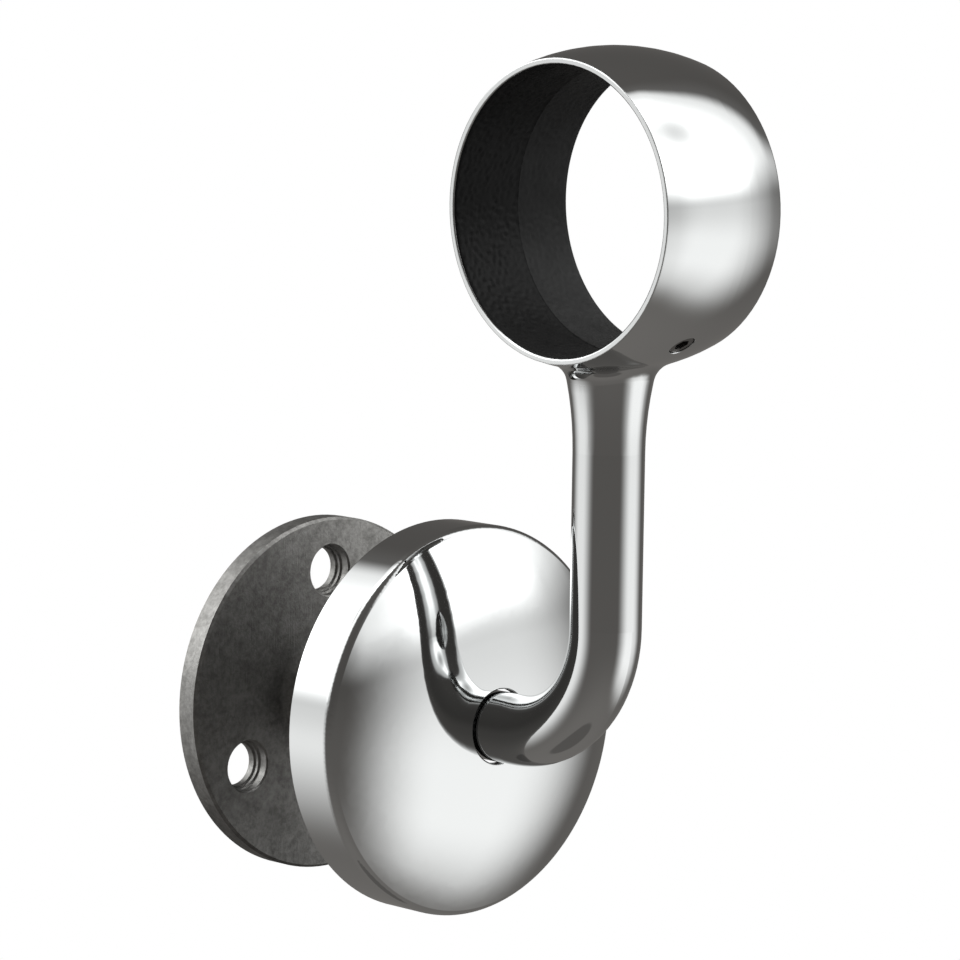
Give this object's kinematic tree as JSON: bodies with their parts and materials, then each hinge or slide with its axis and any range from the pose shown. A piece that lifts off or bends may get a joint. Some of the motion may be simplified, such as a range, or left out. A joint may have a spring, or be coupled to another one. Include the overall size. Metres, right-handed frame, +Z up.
{
  "type": "handrail bracket",
  "caption": "Wall bracket for a round handrail: a through ring on a bent round arm, a screw-on wall plate and a domed cover rose that slides along the arm.",
  "frame": {"origin": "centre of the wall plate's back face, on the axis of the arm's level stretch, in the plane of the wall", "axes": "+Y into the wall, +X along the rail, +Z up; the arm stands off the wall towards -Y"},
  "size_m": [0.0574, 0.0836, 0.1273],
  "materials": {
    "chrome_casting": "polished chrome plate outside, dark as-cast wall inside the ring",
    "chrome_shell": "polished chrome plate",
    "raw_steel": "mottled dark grey, unpolished",
    "screw_steel": "zinc plated",
    "grub_steel": "plain steel"
  },
  "bodies": {
    "bracket": {"bracket_arm": "chrome_casting", "wall_plate": "raw_steel", "centre_screw": "screw_steel", "grub_screw": "grub_steel"},
    "rose": {"cover_rose": "chrome_shell"}
  },
  "joints": [
    {"name": "rose_slide", "type": "slide", "parent": "bracket", "child": "rose", "axis": [0, 1, 0], "range_m": [-0.003, 0.0264]}
  ]
}
